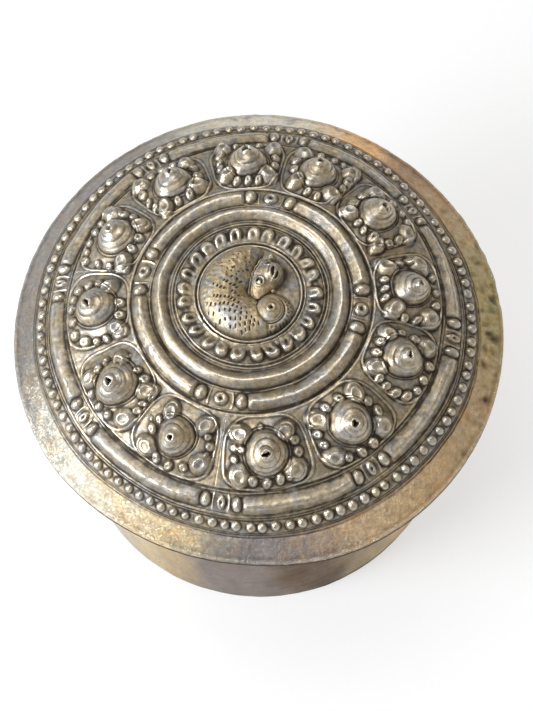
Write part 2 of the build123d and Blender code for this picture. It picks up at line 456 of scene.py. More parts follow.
def petalRelief(r, a):
    # thumb shapes: half-round strips with a rounded outer end, sinking towards the medallion, each with a long scoop
    spec = petalSpec
    draw = np.random.default_rng(spec["seed"])
    pitch = 360 / spec["count"]
    which = np.floor(((a - spec["first"]) % 360) / pitch).astype(int) % spec["count"]
    off, size, tall, deep, lean = (draw.uniform(low, high, spec["count"])[which] for low, high in
                                   ((-0.12, 0.12), (0.80, 1.06), (0.75, 1.08), (0.35, 1.05), (-0.28, 0.28)))
    side = np.radians(turn(a, spec["first"] + (which + 0.5 + off) * pitch)) * spec["bend"] - lean * (r - spec["bend"])
    side = side / size / spec["wide"]
    beyond = np.maximum(r - spec["bend"], 0) / spec["end"] / (0.9 + 0.1 * tall)
    far = np.hypot(side, beyond)
    body = roundTop(far, 1.0, 0.5) * (0.12 + 0.88 * smooth(r, 13.3, 15.7))
    scoop = bell(np.hypot(side / 0.50, (r - 14.8) / 1.2), 1.0) * deep
    h = spec["height"] * tall * (body - 0.82 * scoop * body)
    h = np.maximum(h, 0.2 * roundTop(r - 15.4, 2.4))
    x, y = plan(r, a)
    h = h + 0.03 * lumps(x, y, 1.8, 52) + 0.34 * bell(r - 13.0, 0.2)
    ink = 0.5 * smooth(far, 0.8, 1.05) * smooth(r, 13.6, 15.0) * (1 - smooth(r, 17.0, 17.6)) + 0.5 * scoop * (far < 1)
    return scored(h, ink, r, spec["lines"])


# twelve rosettes
rosetteSpec = {
    "inner": 28.5, "outer": 45.0, "cell": 0.155,
    "at": 37.0,
    "azimuths": (0.5, 33, 61, 88, 117, 147, 176, 207, 237, 270, 302, 333),
    "halfAcross": 9.35, "halfOut": 8.05, "corner": 3.4, "pad": 0.85,
    "bossRadius": 5.1,
    "bossSizes": (4.55, 4.85, 4.8, 5.0, 5.0, 5.0, 5.1, 5.3, 4.55, 5.15, 5.1, 4.9),
    "bossProfile": ((0.0, 5.0), (0.6, 5.25), (1.05, 5.15), (1.35, 4.7), (1.65, 4.4), (2.3, 4.0), (2.85, 3.55),
                    (3.05, 3.25), (3.6, 2.8), (4.05, 2.35), (4.22, 2.05), (4.6, 1.6), (5.0, 0.95), (5.4, 0.55),
                    (6.0, 0.0)),
    "bossSteps": (3.0, 4.13),
    # lean of the tip across and outwards, half length, half width and tilt of the torn hole, groove pitch and hand
    "tips": ((0.6, 0.6, 0.55, 0.28, 30, 1.15, 1), (0.9, 0.2, 1.05, 0.45, -5, 1.2, -1),
             (0.2, 0.2, 0.5, 0.5, 0, 1.3, 1), (0.2, 0.3, 1.0, 0.6, 0, 1.5, 1), (0.3, 0.2, 0.75, 0.28, 60, 1.4, -1),
             (-0.2, 0.2, 0.6, 0.3, 40, 1.2, -1), (-0.3, 0.1, 0.95, 0.33, 28, 1.3, -1),
             (0.0, 0.2, 0.72, 0.46, -8, 1.2, 1), (0.3, 0.2, 0.45, 0.4, 0, 1.5, -1), (0.1, 0.0, 0.95, 0.33, 10, 1.2, 1),
             (0.2, 0.2, 0.6, 0.52, 70, 1.1, 1), (0.1, 0.3, 0.75, 0.28, 15, 1.1, 1)),
    # across (towards falling azimuth), outwards, half width, 1 with a crescent ridge outside it
    "petals": (
        ((-6.9, 3.0, 1.9, 0), (-7.3, 0.7, 0.95, 0), (-6.7, -1.5, 0.95, 0), (-5.8, -4.8, 1.75, 1), (-2.2, -5.8, 0.95, 0),
         (0.1, -6.0, 0.95, 0), (2.4, -6.0, 1.0, 0), (5.2, -3.9, 1.7, 1), (7.2, -1.3, 1.05, 0), (7.6, 1.5, 1.05, 0),
         (7.0, 4.6, 1.75, 0), (3.5, 5.9, 1.15, 0), (0.2, 6.1, 1.05, 0), (-3.6, 5.7, 1.05, 0)),
        ((-5.6, 4.4, 1.8, 0), (-6.0, 1.0, 1.1, 0), (-5.4, -2.3, 1.35, 0), (-4.0, -5.0, 1.5, 1), (-0.4, -5.2, 1.0, 0),
         (1.9, -5.3, 0.95, 0), (4.6, -4.3, 1.3, 0), (6.9, -4.4, 1.5, 1), (7.8, -1.4, 1.15, 0), (8.0, 1.4, 1.1, 0),
         (7.6, 4.3, 1.6, 0), (5.0, 5.9, 1.0, 0), (2.3, 6.1, 1.05, 0), (-1.2, 6.1, 1.1, 0)),
        ((-6.0, 6.2, 1.5, 0), (-6.4, 2.3, 1.15, 0), (-5.6, -0.6, 1.1, 0), (-3.4, -3.9, 1.6, 0), (0.3, -5.8, 1.0, 0),
         (3.0, -5.9, 1.05, 0), (6.0, -3.3, 1.7, 0), (7.2, 0.0, 1.0, 0), (7.5, 2.6, 1.3, 0), (7.0, 5.9, 1.75, 1),
         (4.1, 6.9, 0.9, 0), (1.6, 7.0, 1.05, 0), (-2.0, 6.9, 1.1, 0), (0.0, -5.9, 0.4, 0)),
        ((-5.8, 6.6, 1.6, 0), (-6.6, 3.9, 1.1, 0), (-6.7, 1.4, 0.9, 0), (-6.5, -0.6, 0.95, 0), (-4.7, -3.2, 1.55, 0),
         (-2.3, -5.5, 1.05, 0), (0.4, -5.6, 1.05, 0), (2.8, -5.5, 1.05, 0), (5.2, -3.2, 1.75, 0), (6.9, -0.3, 1.1, 0),
         (7.1, 2.4, 1.05, 0), (6.8, 5.8, 1.6, 0), (3.2, 6.9, 0.95, 0), (-2.6, 6.9, 0.95, 0)),
        ((-6.3, 6.2, 1.6, 0), (-7.4, 3.2, 1.25, 0), (-7.4, 0.0, 1.0, 0), (-6.9, -2.6, 1.0, 0), (-4.9, -4.6, 1.6, 1),
         (-1.4, -5.5, 1.1, 0), (1.8, -5.6, 1.15, 0), (4.7, -3.9, 1.8, 0), (6.3, -0.8, 1.15, 0), (6.6, 2.1, 1.05, 0),
         (6.2, 5.4, 1.45, 0), (3.3, 6.6, 1.05, 0), (0.3, 6.8, 1.1, 0), (-2.9, 6.8, 1.15, 0)),
        ((-7.6, 5.8, 1.1, 0), (-5.4, 6.4, 0.95, 0), (-2.9, 6.7, 0.95, 0), (0.2, 6.8, 1.05, 0), (2.8, 6.7, 0.95, 0),
         (6.1, 5.8, 1.75, 1), (6.7, 2.6, 1.2, 0), (6.6, -0.2, 1.0, 0), (5.1, -3.4, 1.65, 1), (1.8, -5.3, 1.15, 0),
         (-1.4, -5.2, 1.2, 0), (-5.7, -4.5, 1.8, 1), (-7.4, -1.3, 1.0, 0), (-7.6, 2.0, 0.95, 0)),
        ((-7.7, 3.5, 1.35, 0), (-5.5, 5.7, 1.25, 0), (-2.2, 5.9, 1.15, 0), (1.3, 6.3, 1.15, 0), (3.6, 5.9, 1.05, 0),
         (5.6, 4.9, 1.2, 0), (6.3, 2.2, 1.15, 0), (6.3, -0.2, 1.05, 0), (4.5, -3.0, 1.7, 0), (0.4, -5.9, 1.3, 0),
         (-2.8, -5.9, 1.25, 0), (-6.2, -4.8, 1.75, 1), (-8.0, -1.5, 1.05, 0), (-8.2, 0.9, 0.95, 0)),
        ((-7.6, 3.5, 1.7, 0), (-4.2, 5.6, 1.0, 0), (-1.2, 6.1, 1.05, 0), (2.4, 6.2, 1.05, 0), (5.5, 4.8, 1.55, 1),
         (6.0, 2.1, 1.05, 0), (6.0, -0.2, 0.95, 0), (3.9, -3.3, 1.55, 0), (-0.5, -5.6, 0.95, 0), (-3.2, -5.8, 1.15, 0),
         (-6.0, -4.4, 1.7, 1), (-7.6, -1.6, 0.9, 0), (-8.0, 0.3, 1.05, 0), (3.6, -5.6, 0.5, 0)),
        ((-7.5, 3.3, 1.65, 0), (-4.2, 5.0, 1.1, 0), (-0.8, 5.9, 1.15, 0), (2.5, 5.8, 1.15, 0), (5.9, 4.7, 1.7, 1),
         (6.1, 0.9, 1.2, 0), (5.4, -1.5, 1.0, 0), (3.5, -4.4, 1.6, 1), (-5.2, -4.9, 1.65, 1), (-7.9, -0.7, 1.05, 0),
         (-6.7, -2.5, 0.85, 0), (0.0, -6.4, 0.4, 0), (7.6, -0.6, 0.6, 0), (-7.9, 1.0, 0.5, 0)),
        ((-6.4, 3.9, 1.8, 1), (-2.6, 5.4, 1.2, 0), (0.5, 5.9, 1.15, 0), (3.7, 5.3, 1.2, 0), (6.8, 4.3, 1.75, 1),
         (7.6, 1.0, 0.95, 0), (5.7, -1.2, 0.95, 0), (7.4, -1.4, 0.95, 0), (5.6, -4.5, 1.75, 1), (-4.5, -4.3, 1.7, 1),
         (-6.7, -2.0, 1.15, 0), (-7.3, 0.5, 1.15, 0), (0.7, -5.9, 0.75, 0), (-4.6, 5.3, 0.8, 0)),
        ((-6.4, 4.5, 1.9, 0), (-2.2, 6.1, 1.3, 0), (1.3, 6.1, 1.25, 0), (4.6, 5.6, 1.1, 0), (7.3, 4.3, 1.65, 0),
         (7.9, 1.0, 1.1, 0), (7.7, -1.4, 1.05, 0), (5.6, -4.1, 1.8, 1), (2.5, -5.7, 1.15, 0), (-1.3, -5.7, 1.15, 0),
         (-5.0, -4.3, 1.8, 1), (-6.4, -1.3, 1.2, 0), (-7.1, 1.5, 1.2, 0), (8.0, -3.4, 0.6, 0)),
        ((-5.9, 4.5, 1.7, 0), (-1.9, 6.3, 1.25, 0), (1.7, 6.3, 1.15, 0), (4.8, 6.1, 1.05, 0), (7.2, 4.8, 1.3, 0),
         (7.9, 2.4, 1.3, 0), (7.4, -0.1, 1.05, 0), (6.7, -2.3, 1.05, 0), (4.5, -4.2, 1.65, 1), (1.3, -5.6, 1.15, 0),
         (-1.4, -5.8, 1.1, 0), (-4.1, -4.6, 1.55, 0), (-5.7, -1.8, 1.05, 0), (-5.9, 1.3, 1.15, 0)),
    ),
    "holeDepth": 2.6,
    "lines": ((28.5, 0.26, 0.22), (45.0, 0.22, 0.22)),
    "splits": (346.75, 74.5, 161.5, 253.5),  # midway between rosettes, where one mesh ends and the next begins
    "seed": 61,
}


def rosetteRelief(r, a):
    # a low pad inside a rounded-square line, scooped petals round a stepped, chased and torn cone
    spec = rosetteSpec
    azimuths = np.array(spec["azimuths"], float)
    which = np.abs(turn(a[..., None], azimuths)).argmin(-1)
    x, y = plan(r, a)
    gap = -np.radians(turn(a, azimuths[which]))
    fan = gap * spec["at"]  # fan-shaped across, for the outline
    # neighbours differ in spacing, so each rosette fills the room it has
    width = np.abs(turn(np.roll(azimuths, -1), np.roll(azimuths, 1))) / 60
    across = gap * r
    out = r - spec["at"] - 0.1
    q = (np.abs(fan / (spec["halfAcross"] * width[which])) ** spec["corner"]
         + np.abs(out / spec["halfOut"]) ** spec["corner"]) ** (1 / spec["corner"])
    q = q + 0.012 * lumps(x, y, 9, 62)
    line = (q - 0.965) * spec["halfOut"]
    h = spec["pad"] * smooth(line, -0.3, -3.4) + 0.20 * bell(line, 0.16)
    cut = bell(line + 0.36, 0.15) + bell(line - 0.36, 0.15)
    h -= 0.08 * cut
    ink = 0.22 * cut + 0.10 * smooth(line, 0.5, 1.2) - 0.3 * bell(line, 0.2)
    table = np.array(spec["petals"], float)
    tips = np.array(spec["tips"], float)
    draw = np.random.default_rng(spec["seed"])
    tall = draw.uniform(0.85, 1.1, table.shape[:2])
    tilt = draw.uniform(-0.25, 0.25, table.shape[:2])
    # the petals in the table were measured on the plain dome, seen from the front and above:
    # a raised top looks further from the front than it is
    away = np.radians(azimuths)
    for n in range(table.shape[1]):
        half = table[which, n, 2]
        lift = np.where(half > 1.4, 0.45, 0.38)
        pu = table[which, n, 0] + lift * np.cos(away)[which]
        pv = table[which, n, 1] - lift * np.sin(away)[which]
        far = np.maximum(np.hypot(pu, pv), 1e-6)
        eu, ev = pu / far, pv / far
        du, dv = across - pu, out - pv
        along = du * eu + dv * ev
        side = -du * ev + dv * eu + tilt[which, n] * along
        big = smooth(half, 1.3, 1.5)
        strength = tall[which, n] * smooth(half, 0.3, 0.9)
        size = half * (0.96 - 0.02 * big)
        d = np.hypot(along / (size * 1.12), side / size)
        # a large petal is a soft swelling with a ringed dimple, a small one a bead with a little scoop
        h = h + big * 1.9 * strength * roundTop(d / 1.65, 1.0, 1.15)
        dimple = roundTop(np.hypot(along / size + 0.05, side / size) / 0.68, 1.0, 1.0)
        swelling = strength * (0.18 * bell(d - 0.80, 0.15) - 0.62 * dimple)
        scoop = bell(np.hypot(along / size - 0.15, side / size), 0.42)
        bead = strength * (1.4 * roundTop(d, 1.0, 0.65) - 0.60 * scoop)
        h = h + big * swelling + (1 - big) * bead * (d < 1)
        ink = ink + (0.1 * scoop * (1 - big) - 0.12 * dimple * big) * (d < 1)
        arc = bell(d - 1.26, 0.11) * (along > 0) * table[which, n, 3] * smooth(along / half, 0.1, 0.7)
        h = h + 0.32 * arc
        ink = ink + 0.2 * bell(d - 1.05, 0.09) * (1 - big) * (d > 0.98)
    # the boss
    lean = tips[which, 0], tips[which, 1]
    reach = np.hypot(across, out)
    share = np.clip(1 - reach / spec["bossRadius"], 0, 1)
    bu, bv = across - lean[0] * share, out - lean[1] * share
    rho = np.hypot(bu, bv) * spec["bossRadius"] / np.array(spec["bossSizes"])[which]
    theta = np.arctan2(bv, bu)
    rho = rho * (1 + 0.03 * np.sin(3 * theta + which * 1.7) * smooth(rho, 1.2, 3))
    # its steps are not quite round, so the profile is read a little nearer or farther
    wobble = 0.20 * np.sin(theta + which * 2.1) + 0.10 * np.sin(2 * theta + which)
    rho = rho + wobble * bell(rho - 3.4, 1.1)
    dense = np.linspace(0, 6.4, 400)
    keys = np.array(spec["bossProfile"])
    curve = np.interp(dense, keys[:, 0], keys[:, 1])
    curve = np.convolve(np.pad(curve, 6, mode="edge"), np.ones(13) / 13, mode="valid")
    boss = np.interp(rho, dense, curve, right=-1.0)
    pitch, hand = tips[which, 5], tips[which, 6]
    phase = (rho / pitch - hand * theta / (2 * math.pi) + which * 0.37) % 1.0
    groove = bell((np.abs(phase - 0.5) - 0.5) * pitch, 0.13) * smooth(rho, 1.2, 1.6) * (1 - smooth(rho, 3.0, 3.6))
    groove = groove * np.clip(0.55 + 0.6 * lumps(x, y, 4.0, 64), 0.1, 1)
    step = sum(bell(rho - at, 0.13) for at in spec["bossSteps"]) * np.clip(0.6 + 0.5 * lumps(x, y, 6.0, 65), 0.1, 1)
    boss = boss - 0.14 * groove - 0.14 * step + 0.12 * bell(rho - 1.0, 0.3)
    h = np.where(rho < 5.9, np.maximum(h, boss), h)
    h += 0.16 * bell(rho - 5.25, 0.17) - 0.16 * bell(rho - 5.55, 0.14) - 0.14 * bell(rho - 4.92, 0.12)
    ink = ink * smooth(rho, 5.0, 5.6) + 0.5 * groove + 0.45 * step
    ink = ink + 0.35 * bell(rho - 4.92, 0.13) + 0.25 * bell(rho - 5.55, 0.14)
    # the torn hole, a pit with a ragged lip
    spin = np.radians(tips[which, 4])
    hu = bu * np.cos(spin) + bv * np.sin(spin)
    hv = -bu * np.sin(spin) + bv * np.cos(spin)
    ragged = 1 + 0.22 * np.sin(3 * np.arctan2(hv, hu) + which) + 0.1 * np.sin(5 * np.arctan2(hv, hu))
    hole = np.hypot(hu / tips[which, 2], hv / tips[which, 3]) / ragged
    pit = 1 - smooth(hole, 0.75, 1.25)
    h = h - spec["holeDepth"] * pit
    ink = ink + 1.2 * (1 - smooth(hole, 0.9, 1.3))
    h = h + 0.03 * lumps(x, y, 2.2, 63)
    h, ink = scored(h, ink, r, spec["lines"])
    ridge = bell(r - 29.05, 0.2) + bell(r - 44.5, 0.18)
    return h + 0.14 * ridge, ink


# medallion floor
floorHeight = float(domeHeight(np.array(lidForm["medallion"])))


def discPiece(name, spec, relief):
    # rings of points round one pole: worked face outwards, then a flat back with its own pole
    radius, rows, cols = spec["radius"], round(spec["rows"] / coarse), round(spec["cols"] / coarse)
    rr, aa = np.meshgrid(np.linspace(0, radius, rows + 1)[1:], np.arange(cols) * 360 / cols, indexing="ij")
    x, y = plan(rr, aa)
    height, ink = relief(x, y)
    cell = radius / rows
    wrap = max(3, round(2.4 / cell))
    wide = np.concatenate([height[:, -wrap:], height, height[:, :wrap]], 1)
    inkWide = np.concatenate([ink[:, -wrap:], ink, ink[:, :wrap]], 1)
    stainAndShade, wear = grimeAndShade(wide, inkWide, cell, spec["dirtShare"])
    stainAndShade, wear = stainAndShade[:, wrap:-wrap], wear[:, wrap:-wrap]
    centre = relief(np.zeros((1, 1)), np.zeros((1, 1)))[0]
    flat = np.array([spec["closeAt"] * radius, 0.5 * radius])[:, None] * np.ones(cols)
    bx, by = plan(flat, aa[0])
    x = np.concatenate([x, bx])
    y = np.concatenate([y, by])
    z = floorHeight + np.concatenate([height, np.full(flat.shape, -spec["under"])])
    x, y, z = bendSheet(x, y, z)
    places = np.stack([x, y, z], -1).reshape(-1, 3)
    poles = floorHeight + np.array([centre[0, 0], -spec["under"]])
    poles = np.stack(bendSheet(np.zeros(2), np.zeros(2), poles), -1)
    points = np.concatenate([places, poles])
    rings = rows + 2
    quads = wrapGrid(rings, cols)[:-cols]
    top, bottom = rings * cols, rings * cols + 1
    c = np.arange(cols)
    c2 = (c + 1) % cols
    fanTop = np.stack([np.full(cols, top), c, c2], -1)
    last = (rings - 1) * cols
    fanBottom = np.stack([np.full(cols, bottom), last + c2, last + c], -1)
    shade = np.full(flat.shape, 0.4)
    stainsAndShade = np.concatenate([np.concatenate([stainAndShade, shade]).ravel(), [stainAndShade[0].mean(), 0.4]])
    wears = np.concatenate([np.concatenate([wear, shade * 0]).ravel(), [wear[0].mean(), 0]])
    piece = buildMesh(name, points, quads, [fanTop, fanBottom], {"stainAndShade": stainsAndShade, "wear": wears})
    print(name, len(points), "points")
    return piece


medallionSpec = {
    "radius": 12.62, "rows": 70, "cols": 420, "floor": 11.8, "ridge": 12.15, "groove": 12.6,
    "under": 0.8, "closeAt": 0.97, "dirtShare": 1.0,
    # the painted shadow of the head is darkest here, beside it
    "shade": (6, 4),  # the darkest place, beside the head
}


def medallionRelief(x, y):
    # a flat floor inside a raised line
    r = np.hypot(x, y)
    drop = domeHeight(r) - floorHeight  # the sheet starts to fall at the border
    h = drop + 0.03 * lumps(x, y, 3, 71) * (r < 12)
    edge = r - medallionSpec["floor"]
    h += 0.28 * bell(r - medallionSpec["ridge"], 0.19) - 0.10 * bell(edge, 0.15)
    cut = bell(r - medallionSpec["groove"], 0.2)
    sx, sy = medallionSpec["shade"]
    # the floor is darkened as tarnish, and more towards the head as its painted shadow
    tarnishAndHeadShadow = 0.95 - 0.5 * smooth(np.hypot(x - sx, y - sy), 2.0, 5.0)
    return h - 0.18 * cut, 0.3 * bell(edge, 0.16) + 0.55 * cut + tarnishAndHeadShadow * (edge < 0)


# coiled beast
beastSpec = {
    "radius": 11.9, "rows": 150, "cols": 600, "under": 0.5, "closeAt": 0.96, "dirtShare": 0.55,
    # azimuth, ridge radius, outer half width, height
    "body": ((66, 10.6, 0.6, 0.0), (74, 10.2, 1.5, 1.7), (84, 9.6, 2.3, 2.7), (95, 8.7, 3.2, 3.4), (115, 7.7, 4.2, 4.0),
             (150, 7.0, 4.9, 4.3), (200, 6.9, 5.0, 4.4), (250, 7.1, 4.85, 4.3), (285, 7.8, 4.15, 3.8),
             (300, 8.4, 3.5, 3.1), (312, 9.0, 2.9, 2.4), (322, 9.6, 2.2, 1.4), (330, 10.0, 1.4, 0.0)),
    # chased ticks in rows that spread from one point: direction, nearest and farthest, pitch, share struck
    "fan": (6.5, -7.5),
    "tickRows": ((118, 12.5, 15.5, 1.5, 0.5), (126, 12.0, 16.0, 1.4, 0.5), (133.5, 12.5, 16.0, 1.1, 0.6),
                 (140.7, 12.3, 15.2, 0.80, 0.9), (148, 10.8, 17.2, 0.90, 0.95), (156.5, 10.1, 16.0, 0.85, 0.95),
                 (164, 8.9, 16.9, 1.05, 1), (171.3, 7.7, 16.3, 1.27, 1), (181, 6.6, 14.8, 1.2, 1),
                 (190, 6.0, 12.4, 1.15, 1), (198.5, 5.4, 9.9, 1.08, 0.9)),
    "head": (3.8, 2.6),
    "axis": (1.0, -3.3, 69.6),  # where the neck starts, and the direction from there to the crown
    # direction from the middle of the head and reach of its outline
    "outline": ((10, 4.6), (43, 5.3), (65, 5.3), (78, 5.4), (96, 5.2), (121, 3.65), (168, 3.25), (206, 4.6), (223, 6.4),
                (240, 8.0), (250, 8.2), (262, 5.6), (278, 4.0), (316, 3.35), (347, 4.2)),
    "rise": ((-1, 2.0), (2, 3.0), (5, 3.8), (8, 4.1), (10.5, 3.9), (12.5, 3.0)),
    "muzzle": (5.95, 3.3, 2.6, 1.4),
    "lowerEye": (2.47, 1.2, 1.0),
    "upperEye": (5.1, 5.5, 0.95, 0.75),
    # middle, direction, half length, half width and bow of the slit, its depth, how dark it is
    "slits": (((5.85, 3.15, 80, 1.15, 0.36, 0.10), 0.7, 1.3), ((6.5, 2.2, 60, 0.95, 0.24, -0.14), 0.55, 1.2)),
    # folds beside the mouth: middle, direction, half length, half width and bow
    "folds": ((6.75, 3.5, 72, 0.95, 0.11, -0.35), (7.35, 2.2, 62, 1.5, 0.12, -0.35), (5.0, 3.6, 70, 1.0, 0.12, 0.2)),
    "tuft": (5.75, 7.35, 1.15, 4.4),
    "tuftSpecks": ((-0.45, 0.30), (0.35, 0.35), (-0.1, -0.30), (0.5, -0.25)),
    "curl": (5.5, -0.75, 0.75, 2.4),
    "haunch": (4.2, -5.85, 3.35, 4.6),
    "limb": (4.7, -6.2, 5.5, 3.2),
    "dot": (4.63, -5.81),
    "dotPitch": (0.95, 0.85),
    "seed": 81,
}


def closedCurve(angle, table):
    # reach by direction, straight between the table's points and then smoothed over 18 degrees
    keys = np.array(table, float)
    dense = np.arange(0, 360, 1.0)
    reach = np.interp(dense, keys[:, 0], keys[:, 1], period=360)
    reach = np.convolve(np.pad(reach, 9, mode="wrap"), np.ones(19) / 19, mode="valid")
    return np.interp(angle, dense, reach, period=360)


def bodyRelief(x, y):
    # an arch carried round the ring: steep outside, a long slope down to the middle
    keys = np.array(beastSpec["body"], float)
    r = np.hypot(x, y)
    a = np.degrees(np.arctan2(y, x)) % 360
    ridgeAt, half, top = (np.interp(a, keys[:, 0], keys[:, n]) for n in (1, 2, 3))
    top = top * ((a > keys[0, 0]) & (a < keys[-1, 0]))
    inside = r < ridgeAt
    t = np.where(inside, (ridgeAt - r) / (ridgeAt + 0.2), (r - ridgeAt) / half)
    body = top * np.clip(1 - t**2, 0, 1) ** np.where(inside, 0.85, 0.58)
    # ticks stand across their rows
    draw = np.random.default_rng(beastSpec["seed"])
    fx, fy = beastSpec["fan"]
    away = np.hypot(x - fx, y - fy)
    around = np.degrees(np.arctan2(y - fy, x - fx)) % 360
    marks = np.zeros_like(body)
    for way, near, end, pitch, struck in beastSpec["tickRows"]:
        jump = draw.uniform(-1, 1, (24, 3))
        hit = draw.uniform(0, 1, 24) < struck
        number = np.clip(np.round((away - near) / pitch).astype(int), 0, 23)
        along = away - near - number * pitch - 0.12 * jump[number, 0]
        across = np.radians(around - way - 1.2 * np.sin(away * 0.9)) * away - 0.12 * jump[number, 1]
        slim = bell(along - (0.15 + 0.2 * jump[number, 2]) * across, 0.17)
        length = 0.36 + 0.08 * jump[number, 2]
        tick = slim * (1 - smooth(np.abs(across), length - 0.08, length + 0.12)) * hit[number]
        marks = np.maximum(marks, tick * (away > near - 0.5) * (away < end + 0.4))
    # loose dots on the shoulder
    jump = draw.uniform(-1, 1, (40, 40, 3))
    px, py = beastSpec["dotPitch"]
    k, m = np.round(x / px).astype(int), np.round(y / py).astype(int)
    push = jump[k % 40, m % 40]
    dot = bell(np.hypot(x - px * k - 0.3 * push[..., 0], y - py * m - 0.3 * push[..., 1]), 0.17)
    dot = dot * (push[..., 2] > 0.1)
    shoulder = smooth(a, 76, 84) * (1 - smooth(a, 128, 150)) * smooth(r, 3.5, 4.5) * (1 - smooth(r, 10.0, 11.0))
    marks = np.maximum(marks, 0.95 * dot * shoulder)
    body = body + 0.05 * lumps(x, y, 1.6, 82) * (body > 0.6) - 0.26 * marks
    return body, 0.95 * marks


def haunchRelief(x, y):
    # a low limb cushion under a dished disc with a struck middle
    spec = beastSpec
    lx, ly, reach, high = spec["limb"]
    far = np.hypot(x - lx, y - ly)
    limb = high * np.clip((reach - far) / 2.0, 0, 1) ** 0.6
    around = np.degrees(np.arctan2(y - ly, x - lx))
    rows = np.abs(((far - 3.9) / 0.75 + 0.5) % 1.0 - 0.5) * 0.75
    dash = bell(rows, 0.2) * smooth(np.sin(np.radians(around * 26 + 140 * np.round((far - 3.9) / 0.75))), 0.1, 0.4)
    dash = dash * (np.abs(turn(around, -40)) < 75) * (far > 3.6) * (far < 5.3)
    rim = bell(far - 5.15, 0.16) * (np.abs(turn(around, 95)) < 75)
    limb = limb - 0.22 * dash + 0.22 * rim
    ink = 0.85 * dash + 0.4 * bell(far - 4.75, 0.16) * (np.abs(turn(around, 95)) < 75)
    hx, hy, size, top = spec["haunch"]
    off = np.hypot(x - hx, y - hy)
    disc = top - 1.35 * (off / size) ** 2 - 1.2 * smooth(off, size - 0.45, size + 0.05)
    seam = bell(off - 2.65, 0.14) * (np.abs(turn(np.degrees(np.arctan2(y - hy, x - hx)), 5)) < 75)
    middle = np.hypot(x - spec["dot"][0], y - spec["dot"][1])
    disc = disc - 0.14 * seam + 0.22 * bell(middle - 0.85, 0.22) - 0.6 * (1 - smooth(middle, 0.18, 0.5))
    discInk = 0.5 * seam + 1.1 * (1 - smooth(middle, 0.2, 0.48)) + 0.25 * bell(middle - 1.2, 0.2)
    edge = bell(off - size - 0.12, 0.2)
    on = off < size
    return np.where(on, np.maximum(disc, limb), limb - 0.3 * edge), np.where(on, discInk, ink + 0.6 * edge)


def slit(x, y, cx, cy, way, long, wide, bow=0.0):
    # 1 inside a bowed oval that runs along one direction, and the distance from it in half widths
    s = math.radians(way)
    u = (x - cx) * math.cos(s) + (y - cy) * math.sin(s)
    v = -(x - cx) * math.sin(s) + (y - cy) * math.cos(s) - bow * (1 - (u / long) ** 2)
    far = np.hypot(u / long, v / wide)
    return 1 - smooth(far, 0.7, 1.2), far


def headRelief(x, y):
    # an egg with a bulging muzzle, a scalloped edge on its left, two ringed eyes, a nostril and a mouth
    spec = beastSpec
    cx, cy = spec["head"]
    reach, way = np.hypot(x - cx, y - cy), np.degrees(np.arctan2(y - cy, x - cx)) % 360
    limit = closedCurve(way, spec["outline"])
    scallops = np.abs(np.sin(np.radians((way - 84) * 6.6))) * smooth(way, 84, 92) * (1 - smooth(way, 172, 186))
    q = reach / (limit - 0.12 + 0.30 * scallops)
    ax, ay, lean = spec["axis"]
    t = (x - ax) * math.cos(math.radians(lean)) + (y - ay) * math.sin(math.radians(lean))
    keys = np.array(spec["rise"], float)
    h = np.interp(t, keys[:, 0], keys[:, 1]) * roundTop(q, 1.0, 0.34)
    left = smooth(way, 84, 96) * (1 - smooth(way, 244, 256))
    fringe = bell((q - 0.93) * limit, 0.18) + 0.6 * bell((q - 0.72) * limit, 0.16)
    h = h + (0.38 * fringe - 0.32 * bell((q - 0.82) * limit, 0.18)) * left
    mx, my, size, high = spec["muzzle"]
    off = np.hypot(x - mx, (y - my) * 0.92)
    h = h + high * roundTop(off, size, 0.9) * (q < 1)
    h = h + 0.05 * lumps(x, y, 2.2, 83)
    ink = (0.75 * bell((q - 0.82) * limit, 0.15) - 0.3 * fringe) * left
    # lower eye, a ring with a sunk crescent round a small ball; upper eye, a smaller pointed ring
    ex, ey, size = spec["lowerEye"]
    eye = np.hypot(x - ex, y - ey) / size
    facing = np.cos(np.arctan2(y - ey, x - ex) - math.radians(60))
    # painted shade in the crescent on the eye's far side, and painted highlight on the ring and the small ball
    sunkCrescentShade = bell(eye - 0.6, 0.2) * smooth(facing, -0.5, 0.1)
    h = h + 0.42 * bell(eye - 1.05, 0.26) - 0.36 * sunkCrescentShade + 0.16 * roundTop(eye, 0.45)
    ink = ink + 1.2 * sunkCrescentShade - 0.5 * bell(eye - 1.05, 0.25) - 0.5 * bell(eye, 0.3)
    ex, ey, long, wide = spec["upperEye"]
    eye = np.abs((x - ex) / long) ** 1.3 + np.abs((y - ey) / wide) ** 1.3
    h = h + 0.30 * bell(eye - 1.1, 0.35) - 0.30 * bell(eye - 0.5, 0.25)
    ink = ink + 0.75 * bell(eye - 0.55, 0.18) - 0.4 * bell(eye - 1.1, 0.3)
    # nostril, mouth and the folds beside them
    for place, depth, dark in spec["slits"]:
        hole, far = slit(x, y, *place)
        lip = bell(far - 1.75, 0.45)
        h = h - depth * hole + 0.20 * lip
        ink = ink + dark * hole - 0.3 * lip
    for place in spec["folds"]:
        hole = slit(x, y, *place)[0]
        h = h - 0.16 * hole
        ink = ink + 0.5 * hole
    # tuft between the ears and a curl below the jaw
    tx, ty, size, top = spec["tuft"]
    off = np.hypot(x - tx, y - ty)
    h = np.maximum(h, top * roundTop(off, size, 0.35))
    for dx, dy in spec["tuftSpecks"]:
        speck = bell(np.hypot(x - tx - dx, y - ty - dy), 0.17)
        h = h - 0.22 * speck
        ink = ink + 0.8 * speck
    kx, ky, size, top = spec["curl"]
    h = np.maximum(h, top * roundTop(np.hypot(x - kx, y - ky), size, 0.5))
    return h, ink


